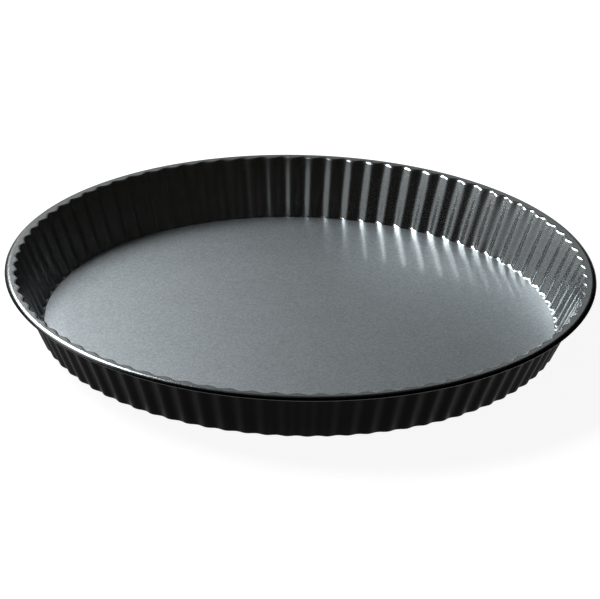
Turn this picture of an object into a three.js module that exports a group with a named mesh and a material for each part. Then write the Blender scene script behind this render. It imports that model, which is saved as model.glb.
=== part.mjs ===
// Fluted baking pan with a loose base: a pressed ring and the flat disc that lies in it.
// Millimetres, +Z up. The origin is the centre of the underside, on the table.
import * as THREE from "three";

// Sheet that both pieces are pressed from
const RING_SHEET = 0.6;
const BASE_SHEET = 0.6;

// Wall: the diameter is at the sharp corner of wall and ledge, on the mean line of the flutes
const FOOT_DIAMETER = 262;
const PAN_HEIGHT = 30;
const WALL_DRAFT_DEGREES = 24.4;
const FOOT_FILLET_RADIUS = 2.2;
const TOP_FILLET_RADIUS = 1.8;

// Flutes, all the way up the wall. At the ledge they run out to a share of their depth.
const FLUTE_COUNT = 83;
const FLUTE_DEPTH = 1.6;
const FLUTE_RUN_OUT = 0.4;

// Rim: the flange is flat next to the flutes, bends down at its crown and is folded under at its edge
const FLANGE_WIDTH = 3.7;
const CROWN_RADIUS = 4;
const CROWN_DEGREES = 40;
const HEM_HEIGHT = 1.75;
const HEM_CLEARANCE = 0.9;

// Seat of the base: a ledge turned in from the foot of the wall. The base's edge follows the foot fillet.
const SEAT_WIDTH = 8;
const SEAT_GAP = 0.1;
const BASE_SIDE_CLEARANCE = 0.4;
const BASE_EDGE_BREAK = 0.15;

// Columns around the pan on each flute of the wall, and next to it on the plain rim and ledge
const COLUMNS_PER_FLUTE = 4;
const PLAIN_COLUMNS_PER_FLUTE = 2;
const FILLET_STEPS = 2;
const CROWN_STEPS = 2;
const HEM_STEPS = 3;

// Places that follow from the sizes above
const draft = THREE.MathUtils.degToRad(WALL_DRAFT_DEGREES);
const bend = Math.PI / 2 - draft;
const footFilletReach = FOOT_FILLET_RADIUS * Math.tan(bend / 2);
const topFilletReach = TOP_FILLET_RADIUS * Math.tan(bend / 2);
const footRadius = FOOT_DIAMETER / 2;
const topRadius = footRadius + (PAN_HEIGHT - RING_SHEET) * Math.tan(draft);
const ledgeEnd = footRadius - footFilletReach;
const flangeStart = topRadius + topFilletReach;
const rimRadius = flangeStart + FLUTE_DEPTH / 2 + FLANGE_WIDTH;
const hemInnerRadius = flangeStart + FLUTE_DEPTH / 2 + HEM_CLEARANCE;
const ledgeInnerRadius = ledgeEnd - SEAT_WIDTH;
const crown = THREE.MathUtils.degToRad(CROWN_DEGREES);
const crownDrop = CROWN_RADIUS * (1 - Math.cos(crown));
const hemRadius = (HEM_HEIGHT - crownDrop) / (1 + Math.cos(crown));
const hemCenterRadius = rimRadius - hemRadius;
const crownStart = hemCenterRadius + (hemRadius - CROWN_RADIUS) * Math.sin(crown);

const coating = { roughness: 0.42, metalness: 0.7 };
const ringMaterial = new THREE.MeshStandardMaterial({ color: 0x33363a, ...coating });
const baseMaterial = new THREE.MeshStandardMaterial({ color: 0x4a4e52, ...coating });

// Share of the flute depth at a share of the way along the foot fillet, from the ledge to the wall
function footFluteShare(way) {
  return THREE.MathUtils.lerp(FLUTE_RUN_OUT, 1, THREE.MathUtils.smoothstep(way, 0, 1));
}

// A row is one ring of points at a radius and a height, with the share of the flute depth it waves by
function plainRow(radius, height) {
  return { radius, height, flute: 0 };
}

function arcRows(center, radius, fromAngle, toAngle, steps, fluteShare) {
  const rows = [];
  for (let i = 0; i <= steps; i += 1) {
    const way = i / steps;
    const angle = THREE.MathUtils.lerp(fromAngle, toAngle, way);
    rows.push({
      radius: center.x + radius * Math.cos(angle),
      height: center.y + radius * Math.sin(angle),
      flute: fluteShare(way),
    });
  }
  return rows;
}

// The ring's section as a closed loop of rows: up its inner face, round the hem, down its outer face
function ringRows() {
  const down = -Math.PI / 2;
  const up = Math.PI / 2;
  const footCenter = new THREE.Vector2(ledgeEnd, RING_SHEET + FOOT_FILLET_RADIUS);
  const topCenter = new THREE.Vector2(flangeStart, PAN_HEIGHT - TOP_FILLET_RADIUS);
  const crownCenter = new THREE.Vector2(crownStart, PAN_HEIGHT - CROWN_RADIUS);
  const hemCenter = new THREE.Vector2(hemCenterRadius, PAN_HEIGHT - HEM_HEIGHT + hemRadius);
  const footOuter = FOOT_FILLET_RADIUS + RING_SHEET;
  const topInner = TOP_FILLET_RADIUS - RING_SHEET;
  const none = () => 0;
  const full = () => 1;
  const footUpward = footFluteShare;
  const footDownward = (way) => footFluteShare(1 - way);
  return [
    plainRow(ledgeInnerRadius, RING_SHEET),
    ...arcRows(footCenter, FOOT_FILLET_RADIUS, down, down + bend, FILLET_STEPS, footUpward),
    ...arcRows(topCenter, TOP_FILLET_RADIUS, up + bend, up, FILLET_STEPS, full),
    ...arcRows(crownCenter, CROWN_RADIUS, up, up - crown, CROWN_STEPS, none),
    ...arcRows(hemCenter, hemRadius, up - crown, down, HEM_STEPS, none).slice(1),
    plainRow(hemInnerRadius, PAN_HEIGHT - HEM_HEIGHT),
    plainRow(hemInnerRadius, PAN_HEIGHT - RING_SHEET),
    ...arcRows(topCenter, topInner, up, up + bend, FILLET_STEPS, full),
    ...arcRows(footCenter, footOuter, down + bend, down, FILLET_STEPS, footDownward),
    plainRow(ledgeInnerRadius, 0),
  ];
}

// The first and last columns of a flute lie on its outward valley, the two between on its inward ridge
function fluteOffset(column) {
  const place = column % COLUMNS_PER_FLUTE;
  const outward = place === 0 || place === COLUMNS_PER_FLUTE - 1;
  return (outward ? 1 : -1) * FLUTE_DEPTH / 2;
}

// Fluted columns stand half a step round, so that each valley is centred on a plain column
function rowPoints(row) {
  const fluted = row.flute > 0;
  const columns = FLUTE_COUNT * (fluted ? COLUMNS_PER_FLUTE : PLAIN_COLUMNS_PER_FLUTE);
  const shift = fluted ? 0.5 : 0;
  const points = [];
  for (let i = 0; i < columns; i += 1) {
    const turn = (i + shift) / columns;
    const radius = row.radius + row.flute * fluteOffset(i);
    const angle = 2 * Math.PI * turn;
    points.push({ turn, x: radius * Math.cos(angle), y: radius * Math.sin(angle), z: row.height });
  }
  return points;
}

// Where the step after a point of a ring ends, in turns. A ring that is used up never comes next.
function nextTurn(ring, i) {
  if (i >= ring.length) {
    return Infinity;
  }
  return i + 1 < ring.length ? ring[i + 1].turn : 1 + ring[0].turn;
}

// Join two rings of points with triangles, stepping along whichever ring comes next around the pan
function stitch(lower, lowerStart, upper, upperStart, index) {
  let a = 0;
  let b = 0;
  while (a < lower.length || b < upper.length) {
    const here = lowerStart + (a % lower.length);
    const there = upperStart + (b % upper.length);
    if (nextTurn(lower, a) <= nextTurn(upper, b)) {
      a += 1;
      index.push(here, there, lowerStart + (a % lower.length));
    } else {
      b += 1;
      index.push(here, there, upperStart + (b % upper.length));
    }
  }
}

function ringGeometry() {
  const rings = ringRows().map(rowPoints);
  const positions = [];
  const starts = [];
  for (const ring of rings) {
    starts.push(positions.length / 3);
    for (const point of ring) {
      positions.push(point.x, point.y, point.z);
    }
  }
  const index = [];
  for (let i = 0; i < rings.length; i += 1) {
    const next = (i + 1) % rings.length;
    stitch(rings[i], starts[i], rings[next], starts[next], index);
  }
  const geometry = new THREE.BufferGeometry();
  geometry.setAttribute("position", new THREE.Float32BufferAttribute(positions, 3));
  geometry.setIndex(index);
  geometry.computeVertexNormals();
  return geometry;
}

// Radius that clears the ridges of the foot fillet at a height above the ledge
function clearRadius(height) {
  const angle = Math.acos(1 - height / FOOT_FILLET_RADIUS);
  const ridge = footFluteShare(angle / bend) * FLUTE_DEPTH / 2;
  return ledgeEnd + FOOT_FILLET_RADIUS * Math.sin(angle) - ridge - BASE_SIDE_CLEARANCE;
}

// The base is a flat disc. Its edge is bevelled below to lie in the foot fillet and just broken above.
function baseGeometry() {
  const middle = SEAT_GAP + BASE_SHEET / 2;
  const top = SEAT_GAP + BASE_SHEET;
  const section = [
    new THREE.Vector2(0, RING_SHEET + SEAT_GAP),
    new THREE.Vector2(clearRadius(SEAT_GAP), RING_SHEET + SEAT_GAP),
    new THREE.Vector2(clearRadius(middle), RING_SHEET + middle),
    new THREE.Vector2(clearRadius(top - BASE_EDGE_BREAK), RING_SHEET + top - BASE_EDGE_BREAK),
    new THREE.Vector2(clearRadius(top - BASE_EDGE_BREAK) - BASE_EDGE_BREAK, RING_SHEET + top),
    new THREE.Vector2(0, RING_SHEET + top),
  ];
  const geometry = new THREE.LatheGeometry(section, FLUTE_COUNT * PLAIN_COLUMNS_PER_FLUTE);
  geometry.rotateX(Math.PI / 2);
  return geometry;
}

const pan = new THREE.Group();

const flutedRing = new THREE.Mesh(ringGeometry(), ringMaterial);
flutedRing.name = "fluted_ring";
pan.add(flutedRing);

const looseBase = new THREE.Mesh(baseGeometry(), baseMaterial);
looseBase.name = "loose_base";
pan.add(looseBase);

export default pan;
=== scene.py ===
# Fluted baking pan with a loose base, dressed for the photograph's view. Metres, +Z up, standing on z = 0.
import math

import bmesh
import bpy
from mathutils import Matrix, Vector


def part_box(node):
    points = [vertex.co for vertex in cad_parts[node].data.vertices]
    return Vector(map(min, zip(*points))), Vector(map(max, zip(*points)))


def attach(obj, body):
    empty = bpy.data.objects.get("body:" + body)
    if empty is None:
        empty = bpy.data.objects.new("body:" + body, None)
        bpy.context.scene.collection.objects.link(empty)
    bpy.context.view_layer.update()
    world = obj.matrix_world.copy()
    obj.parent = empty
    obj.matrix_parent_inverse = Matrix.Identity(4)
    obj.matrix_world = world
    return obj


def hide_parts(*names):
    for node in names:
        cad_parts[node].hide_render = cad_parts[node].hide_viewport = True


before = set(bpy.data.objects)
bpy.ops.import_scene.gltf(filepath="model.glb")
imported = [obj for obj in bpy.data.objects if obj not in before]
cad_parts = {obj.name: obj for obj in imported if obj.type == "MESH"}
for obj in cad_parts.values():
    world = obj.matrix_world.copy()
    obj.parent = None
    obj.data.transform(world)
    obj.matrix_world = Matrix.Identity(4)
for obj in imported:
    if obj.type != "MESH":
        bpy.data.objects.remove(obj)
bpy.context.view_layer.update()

# Sizes of the ring and the base, as in the part's source
SHEET = 0.0006
WALL_DRAFT = math.radians(24.4)
FOOT_FILLET_RADIUS = 0.0022
TOP_FILLET_RADIUS = 0.0018
FLUTE_COUNT = 83
FLUTE_DEPTH = 0.0016
FOOT_RUN_OUT = 0.4
FLANGE_WIDTH = 0.0037
CROWN_RADIUS = 0.004
CROWN_ANGLE = math.radians(40)
HEM_HEIGHT = 0.00175
HEM_CLEARANCE = 0.0009
SEAT_WIDTH = 0.008
BASE_SIDE_CLEARANCE = 0.0004
BASE_EDGE_ROUND = 0.00015

# Forms that only the scene has: a flute's shape, the flats beside the flutes and the hem's rounded cut edge
FLUTE_SQUARENESS = 0.2
FLAT_HOLD = 0.0003
HEM_CUT_ROUND = 0.0003

# Fineness of the meshes
COLUMNS_PER_FLUTE = 12
DISC_COLUMNS_PER_FLUTE = 4
FILLET_STEPS = 7
CROWN_STEPS = 12
HEM_STEPS = 8
WALL_STEPS = 4
EDGE_STEPS = 4
BEVEL_STEPS = 5
DISC_RINGS = 10

# Places of the coats in the ring's list of materials
INSIDE = 0
OUTSIDE = 1
EDGE = 2

# First row of the hem's arc that has the edge coat, which is glossier than the rest of the outside
HEM_EDGE_ROW = 4

# Colours of the coats
INSIDE_COLOR = (0.51, 0.55, 0.56)
BLACK_COLOR = (0.006, 0.0062, 0.006)
BASE_COLOR = (0.355, 0.392, 0.415)

# Grain that all coats share: flakes, soft clouds, orange peel and the spread of the roughness
FLAKE_SIZE = 0.0007
CLOUD_SCALE = 40
CLOUD_DETAIL = 3
CLOUD_SHARE = 0.06
PEEL_SCALE = 900
PEEL_DETAIL = 2
PEEL_DEPTH = 0.00005
ROUGHNESS_SHARE = 0.04

# Clear lacquer over a coat, as weight, roughness and refractive index
NO_LACQUER = (0.0, 0.15, 1.5)
BASE_LACQUER = (1.0, 0.13, 1.2)

# Painted shade on the inside coat over the crown, which ends the rim highlight: where it starts and ends, in
# from the rim, and what share of the colour it leaves
CROWN_PAINTED_SHADE_START = 0.0018
CROWN_PAINTED_SHADE_END = 0.0010
CROWN_PAINTED_SHADE_SHARE = 0.02

# White table
FLOOR_REACH = 20
FLOOR_DROP = 0.00005
FLOOR_GLOW = 0.92
FLOOR_SHADE = 0.3

# Faint warm light from all round
WORLD_COLOR = (1, 0.9, 0.78, 1)
WORLD_STRENGTH = 0.009

# Lamps behind the pan: they overlap from one left edge to these right edges, each with its own radiance
BACK_LEFT_EDGE = -0.8
BACK_STEPS = ((-0.1, 0.26), (0.0, 0.16), (0.12, 0.18), (0.3, 0.24))
BACK_DISTANCE = 0.95
BACK_LIFT = 0.46
BACK_HEIGHT = 0.42

# Camera, as fitted to the rim, the foot and the spacing of the flutes in the photograph
SENSOR_WIDTH_MM = 36
LENS_MM = 266.2
CAMERA_DISTANCE = 2.25
CAMERA_ELEVATION = math.radians(24.375)
CAMERA_TILT_BELOW_RIM = math.radians(0.401)
CAMERA_ROLL = math.radians(1.377)
CAMERA_TURN = math.radians(1.03)

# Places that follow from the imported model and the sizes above
ring_low, ring_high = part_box("fluted_ring")
base_low, base_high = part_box("loose_base")
rim_radius = min(ring_high.x, ring_high.y, -ring_low.x, -ring_low.y)
pan_height = ring_high.z
bend = math.pi / 2 - WALL_DRAFT
flange_start = rim_radius - FLANGE_WIDTH - FLUTE_DEPTH / 2
top_radius = flange_start - TOP_FILLET_RADIUS * math.tan(bend / 2)
foot_radius = top_radius - (pan_height - SHEET) * math.tan(WALL_DRAFT)
ledge_end = foot_radius - FOOT_FILLET_RADIUS * math.tan(bend / 2)
ledge_inner = ledge_end - SEAT_WIDTH
hem_inner = flange_start + FLUTE_DEPTH / 2 + HEM_CLEARANCE
crown_drop = CROWN_RADIUS * (1 - math.cos(CROWN_ANGLE))
hem_radius = (HEM_HEIGHT - crown_drop) / (1 + math.cos(CROWN_ANGLE))
crown_start = rim_radius - hem_radius + (hem_radius - CROWN_RADIUS) * math.sin(CROWN_ANGLE)


def smooth_step(share):
    return share * share * (3 - 2 * share)


def foot_flute_share(way):
    """Share of the flute depth along the foot fillet, from the ledge to the wall."""
    return FOOT_RUN_OUT + (1 - FOOT_RUN_OUT) * smooth_step(way)


def flute_offset(turn):
    """How far the wall stands out at a share of a full turn: a wave only just squarer than a sine."""
    wave = math.cos(2 * math.pi * FLUTE_COUNT * turn)
    return FLUTE_DEPTH / 2 * math.tanh(FLUTE_SQUARENESS * wave) / math.tanh(FLUTE_SQUARENESS)


def arc(center, radius, from_angle, to_angle, steps):
    """Points of an arc in the radius and height plane, both ends included."""
    points = []
    for i in range(steps + 1):
        angle = from_angle + (to_angle - from_angle) * i / steps
        points.append((center[0] + radius * math.cos(angle), center[1] + radius * math.sin(angle)))
    return points


def between(first, last, steps):
    """Points inside a straight stretch, its ends left out."""
    points = []
    for i in range(1, steps):
        share = i / steps
        points.append(tuple(a + (b - a) * share for a, b in zip(first, last)))
    return points


def ring_section():
    """The ring's closed section as rows of radius, height, share of the flute depth and coat.

    It starts at the bottom of the ledge's inner edge, goes up the inside, round the hem and down the outside.
    """
    up, down = math.pi / 2, -math.pi / 2
    foot_center = (ledge_end, SHEET + FOOT_FILLET_RADIUS)
    top_center = (flange_start, pan_height - TOP_FILLET_RADIUS)
    crown_center = (crown_start, pan_height - CROWN_RADIUS)
    hem_center = (rim_radius - hem_radius, pan_height - HEM_HEIGHT + hem_radius)
    hem_cut_center = (hem_inner + HEM_CUT_ROUND, pan_height - HEM_HEIGHT + HEM_CUT_ROUND)
    ledge_edge_center = (ledge_inner + SHEET / 2, SHEET / 2)
    run_out = [foot_flute_share(i / FILLET_STEPS) for i in range(FILLET_STEPS + 1)]
    rows = []

    def add(points, shares, coat):
        for (radius, height), share in zip(points, shares):
            rows.append((radius, height, share, coat))

    def plain(points, coat):
        add(points, [0.0] * len(points), coat)

    def fluted(points, coat):
        add(points, [1.0] * len(points), coat)

    foot_inside = arc(foot_center, FOOT_FILLET_RADIUS, down, down + bend, FILLET_STEPS)
    top_inside = arc(top_center, TOP_FILLET_RADIUS, up + bend, up, FILLET_STEPS)
    hem = arc(hem_center, hem_radius, up - CROWN_ANGLE, down, HEM_STEPS)
    top_outside = arc(top_center, TOP_FILLET_RADIUS - SHEET, up, up + bend, FILLET_STEPS)
    foot_outside = arc(foot_center, FOOT_FILLET_RADIUS + SHEET, down + bend, down, FILLET_STEPS)

    plain(arc(ledge_edge_center, SHEET / 2, up + math.pi, up, EDGE_STEPS), INSIDE)
    add(foot_inside, run_out, INSIDE)
    fluted(between(foot_inside[-1], top_inside[0], WALL_STEPS), INSIDE)
    fluted(top_inside, INSIDE)
    fluted([(flange_start + FLAT_HOLD, pan_height)], INSIDE)
    plain([(crown_start - FLAT_HOLD, pan_height)], INSIDE)
    plain(arc(crown_center, CROWN_RADIUS, up, up - CROWN_ANGLE, CROWN_STEPS), INSIDE)
    plain(hem[1:HEM_EDGE_ROW], OUTSIDE)
    plain(hem[HEM_EDGE_ROW:], EDGE)
    plain(arc(hem_cut_center, HEM_CUT_ROUND, down, down - math.pi / 2, EDGE_STEPS), OUTSIDE)
    plain([(hem_inner, pan_height - SHEET)], OUTSIDE)
    fluted(top_outside, OUTSIDE)
    fluted(between(top_outside[-1], foot_outside[0], WALL_STEPS), OUTSIDE)
    add(foot_outside, reversed(run_out), OUTSIDE)
    return rows


def clear_radius(height):
    """Radius that clears the ridges of the foot fillet at a height above the ledge."""
    angle = math.acos(1 - height / FOOT_FILLET_RADIUS)
    ridge = foot_flute_share(angle / bend) * FLUTE_DEPTH / 2
    return ledge_end + FOOT_FILLET_RADIUS * math.sin(angle) - ridge - BASE_SIDE_CLEARANCE


def disc_section():
    """The base's half section as radius and height, from near the middle below to near the middle on top."""
    under, top = base_low.z, base_high.z
    shoulder = top - BASE_EDGE_ROUND
    bevel = []
    for i in range(BEVEL_STEPS + 1):
        height = under + (shoulder - under) * i / BEVEL_STEPS
        bevel.append((clear_radius(height - SHEET), height))
    edge_center = (bevel[-1][0] - BASE_EDGE_ROUND, shoulder)
    edge = arc(edge_center, BASE_EDGE_ROUND, 0, math.pi / 2, EDGE_STEPS)[1:]
    lower = [(bevel[0][0] * i / DISC_RINGS, under) for i in range(1, DISC_RINGS)]
    upper = [(edge_center[0] * i / DISC_RINGS, top) for i in range(DISC_RINGS - 1, 0, -1)]
    return lower + bevel + edge + upper


def circle(builder, radii, height):
    """Vertices once round the pan at a height, each at its own radius."""
    points = []
    for i, radius in enumerate(radii):
        angle = 2 * math.pi * (i / len(radii))
        points.append(builder.verts.new((radius * math.cos(angle), radius * math.sin(angle), height)))
    return points


def band(builder, lower, upper, coat):
    """Faces between two circles of as many vertices."""
    for i in range(len(lower)):
        j = (i + 1) % len(lower)
        face = builder.faces.new((lower[i], lower[j], upper[j], upper[i]))
        face.material_index = coat


def revolve_ring(builder):
    columns = COLUMNS_PER_FLUTE * FLUTE_COUNT
    offsets = [flute_offset(i / columns) for i in range(columns)]
    circles = []
    coats = []
    for radius, height, share, coat in ring_section():
        circles.append(circle(builder, [radius + share * offset for offset in offsets], height))
        coats.append(coat)
    following = circles[1:] + circles[:1]
    for lower, upper, coat in zip(circles, following, coats):
        band(builder, lower, upper, coat)


def revolve_disc(builder):
    columns = DISC_COLUMNS_PER_FLUTE * FLUTE_COUNT
    circles = [circle(builder, [radius] * columns, height) for radius, height in disc_section()]
    for lower, upper in zip(circles, circles[1:]):
        band(builder, lower, upper, 0)
    builder.faces.new(circles[0])
    builder.faces.new(circles[-1])


def mesh_object(name, mesh_builder, materials):
    mesh = bpy.data.meshes.new(name)
    builder = bmesh.new()
    mesh_builder(builder)
    bmesh.ops.recalc_face_normals(builder, faces=builder.faces)
    for face in builder.faces:
        face.smooth = True
    builder.to_mesh(mesh)
    builder.free()
    for material in materials:
        mesh.materials.append(material)
    piece = bpy.data.objects.new(name, mesh)
    bpy.context.scene.collection.objects.link(piece)
    return piece


def new_material(name, surface_node):
    """A material with an empty tree but for its output and the node that shades its surface."""
    material = bpy.data.materials.new(name)
    material.use_nodes = True
    tree = material.node_tree
    tree.nodes.clear()
    output = tree.nodes.new("ShaderNodeOutputMaterial")
    shader = tree.nodes.new(surface_node)
    tree.links.new(shader.outputs[0], output.inputs["Surface"])
    return material, tree, shader


def combine(tree, operation, first, second):
    """Output of a math node on two outputs."""
    node = tree.nodes.new("ShaderNodeMath")
    node.operation = operation
    tree.links.new(first, node.inputs[0])
    tree.links.new(second, node.inputs[1])
    return node.outputs["Value"]


def spread(tree, value, low, high):
    """Output that maps a value between nought and one to the range from low to high."""
    node = tree.nodes.new("ShaderNodeMapRange")
    node.inputs["To Min"].default_value = low
    node.inputs["To Max"].default_value = high
    tree.links.new(value, node.inputs["Value"])
    return node.outputs["Result"]


def noise(tree, place, scale, detail):
    node = tree.nodes.new("ShaderNodeTexNoise")
    node.inputs["Scale"].default_value = scale
    node.inputs["Detail"].default_value = detail
    tree.links.new(place, node.inputs["Vector"])
    return node.outputs["Fac"]


def flake_numbers(tree, place):
    """Two outputs between nought and one that change from flake to flake."""
    flakes = tree.nodes.new("ShaderNodeTexVoronoi")
    flakes.inputs["Scale"].default_value = 1 / FLAKE_SIZE
    tree.links.new(place, flakes.inputs["Vector"])
    split = tree.nodes.new("ShaderNodeSeparateColor")
    tree.links.new(flakes.outputs["Color"], split.inputs["Color"])
    return split.outputs["Red"], split.outputs["Green"]


def rim_painted_shade(tree, place):
    """Output that falls from one to a small share over the crown: painted shade that darkens the coat's
    colour there and ends the rim highlight.
    """
    flat = tree.nodes.new("ShaderNodeVectorMath")
    flat.operation = "MULTIPLY"
    flat.inputs[1].default_value = (1, 1, 0)
    tree.links.new(place, flat.inputs[0])
    radius = tree.nodes.new("ShaderNodeVectorMath")
    radius.operation = "LENGTH"
    tree.links.new(flat.outputs["Vector"], radius.inputs[0])
    painted_shade = tree.nodes.new("ShaderNodeMapRange")
    painted_shade.inputs["From Min"].default_value = rim_radius - CROWN_PAINTED_SHADE_START
    painted_shade.inputs["From Max"].default_value = rim_radius - CROWN_PAINTED_SHADE_END
    painted_shade.inputs["To Min"].default_value = 1
    painted_shade.inputs["To Max"].default_value = CROWN_PAINTED_SHADE_SHARE
    tree.links.new(radius.outputs["Value"], painted_shade.inputs["Value"])
    return painted_shade.outputs["Result"]


def coat_material(name, color, metallic, roughness, flake_share, peel_strength, specular=0.5,
                  lacquer=NO_LACQUER, has_painted_rim_shade=False):
    """Baked-on coating: a colour that changes from flake to flake, soft clouds and a fine orange peel."""
    material, tree, shader = new_material(name, "ShaderNodeBsdfPrincipled")
    lacquer_weight, lacquer_roughness, lacquer_ior = lacquer
    shader.inputs["Metallic"].default_value = metallic
    shader.inputs["Specular IOR Level"].default_value = specular
    shader.inputs["Coat Weight"].default_value = lacquer_weight
    shader.inputs["Coat Roughness"].default_value = lacquer_roughness
    shader.inputs["Coat IOR"].default_value = lacquer_ior
    place = tree.nodes.new("ShaderNodeTexCoord").outputs["Object"]
    tone_number, roughness_number = flake_numbers(tree, place)

    flake_tone = spread(tree, tone_number, 1 - flake_share, 1 + flake_share)
    clouds = noise(tree, place, CLOUD_SCALE, CLOUD_DETAIL)
    cloud_tone = spread(tree, clouds, 1 - CLOUD_SHARE, 1 + CLOUD_SHARE)
    tone_and_painted_shade = combine(tree, "MULTIPLY", flake_tone, cloud_tone)
    # Painted shade over the crown: the coat's colour darkens towards the rim, which ends the rim highlight.
    if has_painted_rim_shade:
        tone_and_painted_shade = combine(tree, "MULTIPLY", tone_and_painted_shade, rim_painted_shade(tree, place))
    tint = tree.nodes.new("ShaderNodeVectorMath")
    tint.operation = "SCALE"
    tint.inputs[0].default_value = color
    tree.links.new(tone_and_painted_shade, tint.inputs["Scale"])
    tree.links.new(tint.outputs["Vector"], shader.inputs["Base Color"])

    smoothest = roughness * (1 - ROUGHNESS_SHARE)
    roughest = roughness * (1 + ROUGHNESS_SHARE)
    tree.links.new(spread(tree, roughness_number, smoothest, roughest), shader.inputs["Roughness"])

    bump = tree.nodes.new("ShaderNodeBump")
    bump.inputs["Strength"].default_value = peel_strength
    bump.inputs["Distance"].default_value = PEEL_DEPTH
    tree.links.new(noise(tree, place, PEEL_SCALE, PEEL_DETAIL), bump.inputs["Height"])
    tree.links.new(bump.outputs["Normal"], shader.inputs["Normal"])
    return material


def floor_material():
    """White table: it takes light and shadow, and glows for the eye and for reflections."""
    material, tree, total = new_material("white_table", "ShaderNodeAddShader")
    matt = tree.nodes.new("ShaderNodeBsdfDiffuse")
    matt.inputs["Color"].default_value = (FLOOR_SHADE, FLOOR_SHADE, FLOOR_SHADE, 1)
    rays = tree.nodes.new("ShaderNodeLightPath").outputs
    seen = combine(tree, "MAXIMUM", rays["Is Camera Ray"], rays["Is Glossy Ray"])
    seen = combine(tree, "MAXIMUM", seen, rays["Is Transmission Ray"])
    glow = tree.nodes.new("ShaderNodeEmission")
    tree.links.new(spread(tree, seen, 0, FLOOR_GLOW), glow.inputs["Strength"])
    tree.links.new(matt.outputs["BSDF"], total.inputs[0])
    tree.links.new(glow.outputs["Emission"], total.inputs[1])
    return material


def make_ring():
    # The inside coat carries painted shade over the crown, darkening its colour towards the rim.
    inside = coat_material("inside_coat", INSIDE_COLOR, metallic=1.0, roughness=0.22, flake_share=0.08,
                           peel_strength=0.02, has_painted_rim_shade=True)
    outside = coat_material("outside_coat", BLACK_COLOR, metallic=0.0, roughness=0.4, flake_share=0.2,
                            peel_strength=0.1, specular=0.025)
    edge = coat_material("edge_coat", BLACK_COLOR, metallic=0.0, roughness=0.3, flake_share=0.2,
                         peel_strength=0.1, specular=0.9)
    ring = mesh_object("fluted_ring_coated", revolve_ring, [inside, outside, edge])
    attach(ring, "ring")
    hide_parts("fluted_ring")


def make_base():
    coat = coat_material("base_coat", BASE_COLOR, metallic=1.0, roughness=0.5, flake_share=0.16,
                         peel_strength=0.1, lacquer=BASE_LACQUER)
    base = mesh_object("loose_base_coated", revolve_disc, [coat])
    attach(base, "base")
    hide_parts("loose_base")


def make_floor():
    def sheet(builder):
        corners = []
        for x, y in ((-1, -1), (1, -1), (1, 1), (-1, 1)):
            corners.append(builder.verts.new((x * FLOOR_REACH, y * FLOOR_REACH, -FLOOR_DROP)))
        builder.faces.new(corners)

    floor = mesh_object("floor", sheet, [floor_material()])


def around(azimuth_degrees, elevation_degrees, distance):
    """A point seen from the pan's middle at an angle from +X and a height above the table."""
    azimuth = math.radians(azimuth_degrees)
    elevation = math.radians(elevation_degrees)
    return (
        distance * math.cos(elevation) * math.cos(azimuth),
        distance * math.cos(elevation) * math.sin(azimuth),
        distance * math.sin(elevation),
    )


def soft_box(name, position, target, width, height, radiance):
    """A flat studio lamp that faces a point, with the brightness of its face given."""
    lamp = bpy.data.lights.new(name, "AREA")
    lamp.shape = "RECTANGLE"
    lamp.size = width
    lamp.size_y = height
    lamp.energy = radiance * math.pi * width * height
    holder = bpy.data.objects.new(name, lamp)
    holder.location = position
    holder.rotation_mode = "QUATERNION"
    holder.rotation_quaternion = (Vector(target) - Vector(position)).to_track_quat("-Z", "Y")
    bpy.context.scene.collection.objects.link(holder)


def light_scene():
    world = bpy.data.worlds.new("studio")
    world.use_nodes = True
    bpy.context.scene.world = world
    background = world.node_tree.nodes["Background"]
    background.inputs["Color"].default_value = WORLD_COLOR
    background.inputs["Strength"].default_value = WORLD_STRENGTH
    middle = (0, 0, 0)
    key = around(azimuth_degrees=148, elevation_degrees=43, distance=0.62)
    back_low = around(azimuth_degrees=135, elevation_degrees=10, distance=1.0)
    left_low = around(azimuth_degrees=196, elevation_degrees=13.5, distance=1.0)
    soft_box("key", key, middle, width=0.56, height=0.22, radiance=12.0)
    soft_box("back_low", back_low, middle, width=0.93, height=0.28, radiance=0.27)
    soft_box("left_low", left_low, middle, width=1.5, height=0.42, radiance=0.25)
    for i, (right_edge, radiance) in enumerate(BACK_STEPS):
        width = right_edge - BACK_LEFT_EDGE
        across = (right_edge + BACK_LEFT_EDGE) / 2
        place = (across, BACK_DISTANCE, BACK_LIFT)
        soft_box(f"back_{i}", place, (across, 0, 0), width, BACK_HEIGHT, radiance)


def aim_camera():
    data = bpy.data.cameras.new("camera")
    data.sensor_width = SENSOR_WIDTH_MM
    data.lens = LENS_MM
    turn = Matrix.Rotation(CAMERA_TURN, 3, "Z")
    rim_center = Vector((0, 0, pan_height))
    back = Vector((0, -math.cos(CAMERA_ELEVATION), math.sin(CAMERA_ELEVATION)))
    drop = CAMERA_ELEVATION + CAMERA_TILT_BELOW_RIM
    ahead = Vector((0, math.cos(drop), -math.sin(drop)))
    right = Vector((1, 0, 0))
    upward = right.cross(ahead)
    axes = Matrix((right, upward, -ahead)).transposed()
    camera = bpy.data.objects.new("camera", data)
    camera.rotation_mode = "QUATERNION"
    camera.rotation_quaternion = (turn @ axes @ Matrix.Rotation(CAMERA_ROLL, 3, "Z")).to_quaternion()
    camera.location = rim_center + turn @ back * CAMERA_DISTANCE
    bpy.context.scene.collection.objects.link(camera)
    bpy.context.scene.camera = camera


make_ring()
make_base()
make_floor()
light_scene()
aim_camera()
bpy.context.scene.view_settings.view_transform = "Standard"
